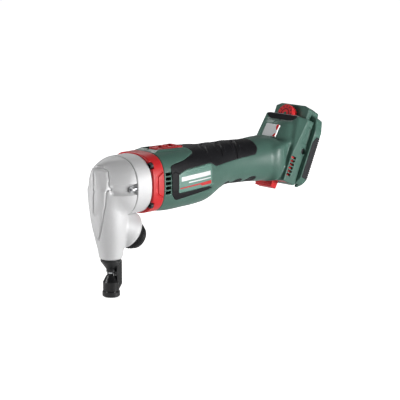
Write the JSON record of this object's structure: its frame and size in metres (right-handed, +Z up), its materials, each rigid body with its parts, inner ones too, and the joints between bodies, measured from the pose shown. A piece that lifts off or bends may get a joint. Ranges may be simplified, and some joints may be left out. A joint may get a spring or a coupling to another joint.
{
  "type": "cordless nibbler",
  "caption": "Right-angle cordless sheet metal nibbler: cast head with punch and turning die holder, barrel motor housing, slim handle and a tilted battery foot, without its battery.",
  "frame": {"origin": "centre of the die nut's lower face, on the punch axis", "axes": "+Z up along the punch axis into the head, +X back along the handle to the battery foot, Y across the tool"},
  "size_m": [0.3293, 0.076, 0.1778],
  "materials": {
    "cast_aluminium": "fine bead-blasted casting, matt silver with a light speckle",
    "screw_steel": "bright zinc plated",
    "black_screws": "black oxide, slightly glossy",
    "red_plastic": "satin moulded red",
    "gear_steel": "hardened and ground",
    "bearing_steel": "polished",
    "shield_aluminium": "die cast, matt",
    "lamination_steel": "stacked laminations, varnished",
    "copper_winding": "enamelled copper wire under varnish",
    "green_plastic": "dark green moulded plastic with a fine eroded grain and a soft metallic sheen",
    "black_rubber": "soft overmould, matt",
    "label_plate": "printed plate, green with a red line",
    "black_plastic": "moulded black",
    "lead_insulation": "silicone insulated leads",
    "contact_brass": "stamped and tinned at the tips",
    "pot_plastic": "component housing",
    "grey_plastic": "mid grey moulded",
    "led_lens": "smoked lens",
    "grey_rubber": "soft grey bumper, finely ribbed",
    "emblem_silver": "plain silver plate with a red edge, no lettering",
    "tool_steel": "ground tool steel",
    "phosphated_steel": "black phosphate, satin",
    "bush_bronze": "sintered bronze",
    "knob_steel": "black knurled steel"
  },
  "bodies": {
    "housing": {"gear_housing": "cast_aluminium", "gear_flange": "cast_aluminium", "head_screws": "screw_steel", "flange_ring": "red_plastic", "flange_screws": "black_screws", "ring_gear": "gear_steel", "crank_bearing": "bearing_steel", "bearing_shield": "shield_aluminium", "front_bearing": "bearing_steel", "rear_bearing": "bearing_steel", "stator_core": "lamination_steel", "stator_windings": "copper_winding", "left_shell": "green_plastic", "right_shell": "green_plastic", "battery_shoe": "green_plastic", "shell_screws": "black_screws", "grip_left": "black_rubber", "grip_right": "black_rubber", "nameplate_left": "label_plate", "nameplate_right": "label_plate", "microswitch": "black_plastic", "control_module": "black_plastic", "wiring_leads": "lead_insulation", "terminal_block": "black_plastic", "contact_blades": "contact_brass", "speed_pot": "pot_plastic", "dial_bezel": "grey_plastic", "status_led": "led_lens", "tail_pad": "black_rubber", "bumper_left": "grey_rubber", "bumper_right": "grey_rubber", "emblem_plate": "emblem_silver", "knob_bush": "screw_steel"},
    "crank": {"eccentric_shaft": "gear_steel", "planet_carrier": "gear_steel", "planet_pins": "bearing_steel"},
    "planet_1": {"planet_gear_1": "gear_steel"},
    "planet_2": {"planet_gear_2": "gear_steel"},
    "planet_3": {"planet_gear_3": "gear_steel"},
    "rod": {"con_rod": "gear_steel", "needle_bearing": "bearing_steel"},
    "ram_group": {"ram": "gear_steel", "wrist_pin": "bearing_steel", "punch": "tool_steel"},
    "die_group": {"die_holder": "phosphated_steel", "die": "tool_steel", "die_nut": "phosphated_steel", "guide_bush": "bush_bronze", "retaining_ring": "bearing_steel"},
    "rotor": {"rotor_shaft": "bearing_steel", "sun_pinion": "gear_steel", "rotor_core": "lamination_steel", "cooling_fan": "black_plastic"},
    "thrust": {"thrust_pin": "screw_steel"},
    "knob": {"clamp_knob": "knob_steel", "clamp_screw": "screw_steel"},
    "slider": {"switch_slider": "red_plastic", "switch_rod": "grey_plastic"},
    "dial": {"thumbwheel": "red_plastic"},
    "filter": {"dust_filter": "red_plastic"}
  },
  "joints": [
    {"name": "crank_spin", "type": "hinge", "parent": "housing", "child": "crank", "pos_m": [0, 0, 0.119], "axis": [-1, 0, 0], "continuous": true},
    {"name": "rotor_spin", "type": "hinge", "parent": "housing", "child": "rotor", "pos_m": [0.07, 0, 0.119], "axis": [-1, 0, 0], "continuous": true},
    {"name": "planet_1_spin", "type": "hinge", "parent": "crank", "child": "planet_1", "pos_m": [0.028, 0, 0.1322], "axis": [-1, 0, 0], "continuous": true},
    {"name": "planet_2_spin", "type": "hinge", "parent": "crank", "child": "planet_2", "pos_m": [0.028, -0.01143, 0.1124], "axis": [-1, 0, 0], "continuous": true},
    {"name": "planet_3_spin", "type": "hinge", "parent": "crank", "child": "planet_3", "pos_m": [0.028, 0.01143, 0.1124], "axis": [-1, 0, 0], "continuous": true},
    {"name": "rod_swing", "type": "hinge", "parent": "crank", "child": "rod", "pos_m": [0, 0.003, 0.119], "axis": [-1, 0, 0], "continuous": true},
    {"name": "ram_stroke", "type": "slide", "parent": "housing", "child": "ram_group", "axis": [0, 0, 1], "range_m": [-0.003, 0.003]},
    {"name": "die_turn", "type": "hinge", "parent": "housing", "child": "die_group", "pos_m": [0, 0, 0.02], "axis": [0, 0, 1], "continuous": true},
    {"name": "knob_turn", "type": "hinge", "parent": "thrust", "child": "knob", "pos_m": [0.03291, 0, 0.0614], "axis": [0.866, 0, -0.5], "range_deg": [0, 360]},
    {"name": "thrust_slide", "type": "slide", "parent": "housing", "child": "thrust", "axis": [0.866, 0, -0.5], "range_m": [0, 0.0015]},
    {"name": "switch_slide", "type": "slide", "parent": "housing", "child": "slider", "axis": [-1, 0, 0], "range_m": [0, 0.006]},
    {"name": "dial_turn", "type": "hinge", "parent": "housing", "child": "dial", "pos_m": [0.27647, 0, 0.16616], "axis": [0.9026, 0, -0.4305], "range_deg": [0, 270]},
    {"name": "filter_pull", "type": "slide", "parent": "housing", "child": "filter", "axis": [-0.4305, 0, -0.9026], "range_m": [0, 0.034]}
  ],
  "couplings": [
    {"joint": "rotor_spin", "follows": "crank_spin", "ratio": 5.5},
    {"joint": "planet_1_spin", "follows": "crank_spin", "ratio": -2.5714},
    {"joint": "planet_2_spin", "follows": "crank_spin", "ratio": -2.5714},
    {"joint": "planet_3_spin", "follows": "crank_spin", "ratio": -2.5714},
    {"joint": "rod_swing", "follows": "crank_spin", "ratio": -1},
    {"joint": "thrust_slide", "follows": "knob_turn", "m_per_rad": 0.00023873}
  ]
}
